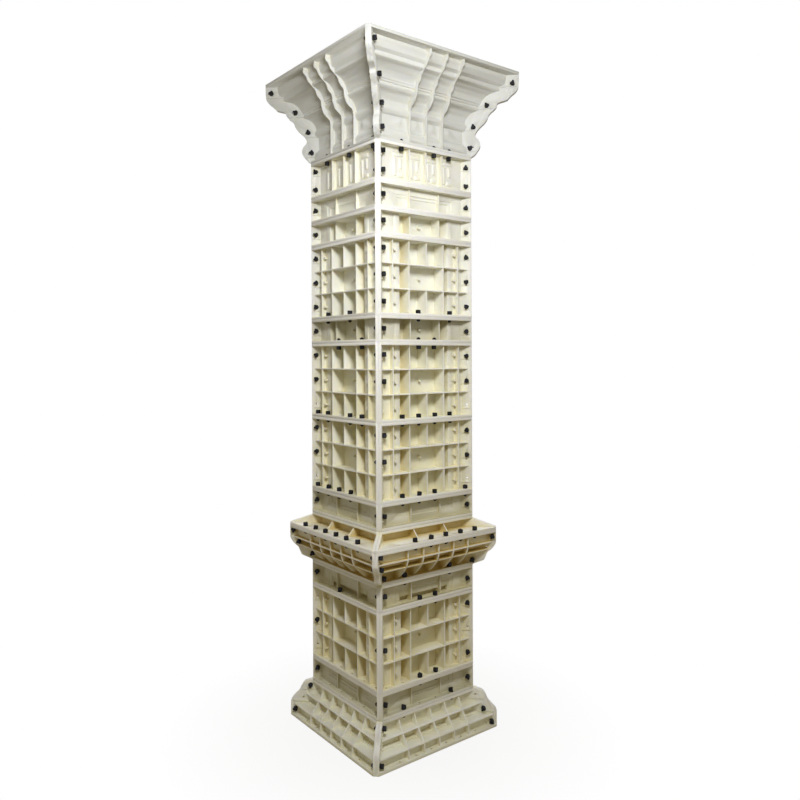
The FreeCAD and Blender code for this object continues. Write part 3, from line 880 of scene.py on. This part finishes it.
def blended(tree, share, first, shade):
    """A colour that turns into a fixed shade as the share goes up."""
    node = tree.nodes.new("ShaderNodeMix")
    node.data_type = "RGBA"
    tree.links.new(share, node.inputs["Factor"])
    tree.links.new(first, node.inputs["A"])
    node.inputs["B"].default_value = (*shade, 1)
    return node.outputs["Result"]


def bump(tree, shader, height, strength, distance):
    """A bump from a height."""
    node = tree.nodes.new("ShaderNodeBump")
    node.inputs["Strength"].default_value = strength
    node.inputs["Distance"].default_value = distance
    tree.links.new(height, node.inputs["Height"])
    tree.links.new(node.outputs["Normal"], shader.inputs["Normal"])


def ivory_material(name, colour, hollow_shade, open_light=OPEN_PAINTED_LIGHT):
    """Moulded plastic of one shade with faint flow marks; painted shade yellows hollows and low parts,
    painted light whitens open faces.
    """
    material, tree, shader = new_material(name)
    position = tree.nodes.new("ShaderNodeNewGeometry").outputs["Position"]
    faint = tuple(0.96 * value for value in colour)
    cloudy = ramp(tree, noise(tree, position, FLOW_MARKS, 4), ((0.3, faint), (0.7, colour)))
    openness = tree.nodes.new("ShaderNodeAmbientOcclusion")
    openness.samples = 8
    openness.inputs["Distance"].default_value = HOLLOW_REACH
    # Painted shade: darker and yellower where the place is hollow
    hollow = ramp(tree, openness.outputs["AO"], hollow_shade)
    marks = noise(tree, position, SPECKS, 5, 0.65)
    specks = ramp(tree, marks, ((0.30, (0.97, 0.96, 0.93)), (0.46, (1.0, 1.0, 1.0))))
    # Painted shade: yellower and darker towards the bottom
    height = tree.nodes.new("ShaderNodeSeparateXYZ")
    tree.links.new(position, height.inputs["Vector"])
    height_shade = ramp(tree, math_node(tree, "DIVIDE", height.outputs["Z"], cad_high.z), HEIGHT_SHADE)
    shaded = multiplied(tree, multiplied(tree, cloudy, height_shade), hollow)
    # Painted light: open places are mixed towards a whiter shade
    lit_open = blended(tree, ramp(tree, openness.outputs["AO"], OPEN_LIGHT_RANGE), shaded, open_light)
    tree.links.new(multiplied(tree, lit_open, specks), shader.inputs["Base Color"])
    shader.inputs["Subsurface Weight"].default_value = 0.35
    shader.inputs["Subsurface Radius"].default_value = (1.0, 0.85, 0.45)
    shader.inputs["Subsurface Scale"].default_value = RIB_WALL
    shader.inputs["Roughness"].default_value = 0.48
    shader.inputs["Specular IOR Level"].default_value = 0.4
    bump(tree, shader, noise(tree, position, PANEL_GRAIN, 2), 0.08, GRAIN_DEPTH)
    return material


def black_material():
    """Matte black plastic of the bolts."""
    material, tree, shader = new_material("black plastic")
    position = tree.nodes.new("ShaderNodeNewGeometry").outputs["Position"]
    marks = noise(tree, position, BOLT_MARKS, 3)
    colour = ramp(tree, marks, ((0.3, (0.004, 0.004, 0.005)), (0.7, (0.012, 0.012, 0.014))))
    tree.links.new(colour, shader.inputs["Base Color"])
    shader.inputs["Roughness"].default_value = 0.55
    shader.inputs["Specular IOR Level"].default_value = 0.2
    bump(tree, shader, noise(tree, position, BOLT_GRAIN, 2), 0.15, GRAIN_DEPTH)
    return material


def build_panels(pale, cream, dull, deep_shaded):
    """Makes each kind of panel and sets it on all four sides of its rings."""
    band_height = node_height("neck_band_front")
    lower_end = end_frames(END_FRAMES, band_height, False)
    upper_end = end_frames(END_FRAMES, band_height, True)
    slot = end_frames([SLOT_FRAME], band_height, False)
    boss = [(0.0, band_height / 2)]
    foot_band = band_mesh("foot_band", band_height, upper_end)
    tall = tall_mesh(node_height("shaft_panel_1_front"))
    kinds = {
        "base": (base_mesh(node_height("base_front")), cream),
        "pedestal_foot_band": (foot_band, dull),
        "pedestal_panel": (tall, cream),
        "pedestal_head_band": (band_mesh("head_band", band_height, lower_end + slot), dull),
        "cornice": (cornice_mesh(node_height("cornice_front")), deep_shaded),
        "shaft_foot_band": (foot_band, dull),
        "shaft_panel_1": (tall, cream),
        "shaft_panel_2": (tall, cream),
        "shaft_middle_band": (band_mesh("middle_band", band_height, field(), boss), dull),
        "shaft_panel_3": (tall, cream),
        "shaft_head_band": (band_mesh("upper_band", band_height, field(), boss), cream),
        "neck_band": (band_mesh("neck_band", band_height, lower_end), cream),
        "frieze": (frieze_mesh(node_height("frieze_front")), cream),
        "capital": (capital_mesh(node_height("capital_front")), pale),
    }
    cover = cover_mesh(node_height("cornice_covers"))
    # The covers, like the cornice, get the white plastic with deep painted shade in its hollows
    for mesh, material in [(cover, deep_shaded), *kinds.values()]:
        mesh.materials.clear()
        mesh.materials.append(material)
    for ring, (mesh, _) in kinds.items():
        for turns, side in enumerate(SIDES):
            node = f"{ring}_{side}"
            place_panel(f"{node}_panel", mesh, node, turns)
    for turns, side in enumerate(SIDES):
        place_panel(f"cornice_cover_{side}_panel", cover, "cornice_covers", turns)


def build_bolts(black):
    """The bolts through the corner flanges and the level joints."""
    for name, node in (("corner_bolt_set", "corner_bolts"), ("joint_bolt_set", "joint_bolts")):
        piece = bolts(name, node)
        piece.data.materials.append(black)


def area_light(name, place, aim, size, power, colour):
    """A soft square lamp aimed at a point."""
    lamp = bpy.data.lights.new(name, "AREA")
    lamp.size = size
    lamp.energy = power
    lamp.color = colour
    holder = bpy.data.objects.new(name, lamp)
    bpy.context.scene.collection.objects.link(holder)
    holder.location = place
    holder.rotation_euler = (Vector(aim) - Vector(place)).to_track_quat("-Z", "Y").to_euler()


def seen_rays(tree):
    """One for camera rays and for rays in reflections and through glass, else zero."""
    path = tree.nodes.new("ShaderNodeLightPath")
    seen = math_node(tree, "MAXIMUM", path.outputs["Is Camera Ray"], path.outputs["Is Glossy Ray"])
    return math_node(tree, "MAXIMUM", seen, path.outputs["Is Transmission Ray"])


def mixed(tree, share, first, second, output):
    """Sends a mix of two shaders to an output."""
    mix = tree.nodes.new("ShaderNodeMixShader")
    tree.links.new(share, mix.inputs["Fac"])
    tree.links.new(first, mix.inputs[1])
    tree.links.new(second, mix.inputs[2])
    tree.links.new(mix.outputs["Shader"], output)


def build_world():
    """Soft light from all sides, seen as plain white."""
    world = bpy.data.worlds.new("studio")
    bpy.context.scene.world = world
    world.use_nodes = True
    tree = world.node_tree
    soft = tree.nodes["Background"]
    soft.inputs["Color"].default_value = WORLD_COLOUR
    soft.inputs["Strength"].default_value = WORLD_LIGHT
    white = tree.nodes.new("ShaderNodeBackground")
    white.inputs["Color"].default_value = (1, 1, 1, 1)
    output = tree.nodes["World Output"].inputs["Surface"]
    mixed(tree, seen_rays(tree), soft.outputs["Background"], white.outputs["Background"], output)


def build_floor():
    """A pale floor that keeps a faint shadow by the base and fades to white around it."""
    mesh = bpy.data.meshes.new("floor")
    bm = bmesh.new()
    bmesh.ops.create_grid(bm, x_segments=1, y_segments=1, size=FLOOR_HALF)
    bm.to_mesh(mesh)
    bm.free()
    floor = bpy.data.objects.new("floor", mesh)
    bpy.context.scene.collection.objects.link(floor)
    material, tree, shader = new_material("floor")
    shader.inputs["Base Color"].default_value = FLOOR_COLOUR
    shader.inputs["Roughness"].default_value = 0.9
    white = tree.nodes.new("ShaderNodeEmission")
    white.inputs["Color"].default_value = (1, 1, 1, 1)
    distance = tree.nodes.new("ShaderNodeVectorMath")
    distance.operation = "LENGTH"
    position = tree.nodes.new("ShaderNodeNewGeometry").outputs["Position"]
    tree.links.new(position, distance.inputs[0])
    fade = tree.nodes.new("ShaderNodeMapRange")
    tree.links.new(distance.outputs["Value"], fade.inputs["Value"])
    fade.inputs["From Min"].default_value = BASE
    fade.inputs["From Max"].default_value = SHADOW_END
    fade.inputs["To Min"].default_value = SHADOW_WHITE
    fade.inputs["To Max"].default_value = 1.0
    share = math_node(tree, "MULTIPLY", seen_rays(tree), fade.outputs["Result"])
    output = tree.nodes["Material Output"].inputs["Surface"]
    mixed(tree, share, shader.outputs["BSDF"], white.outputs["Emission"], output)
    mesh.materials.append(material)


def build_camera():
    """The camera, and plain colours in its pictures."""
    camera = bpy.data.cameras.new("camera")
    camera.sensor_width = CAMERA_SENSOR
    camera.lens = CAMERA_LENS
    camera.shift_y = CAMERA_SHIFT
    holder = bpy.data.objects.new("camera", camera)
    bpy.context.scene.collection.objects.link(holder)
    holder.location = CAMERA_PLACE
    holder.rotation_euler = [math.radians(angle) for angle in CAMERA_TURN]
    bpy.context.scene.camera = holder
    bpy.context.scene.view_settings.view_transform = "Standard"


# The pale capital and the dull lower bands are darker partly as painted shade; every plastic has painted
# shade in hollows
build_panels(
    ivory_material("pale plastic", PALE, FAINT_HOLLOW_SHADE, PALE),
    ivory_material("cream plastic", CREAM, FAINT_HOLLOW_SHADE),
    ivory_material("dull plastic", DULL, FAINT_HOLLOW_SHADE),
    ivory_material("white plastic with deep painted shade", WHITE, DEEP_HOLLOW_SHADE))
build_bolts(black_material())
build_world()
build_floor()
area_light("lamp", LAMP, LAMP_AIM, LAMP_SIZE, LAMP_POWER, LAMP_COLOUR)
area_light("back lamp", BACK_LAMP, LAMP_AIM, LAMP_SIZE, BACK_LAMP_POWER, LAMP_COLOUR)
build_camera()
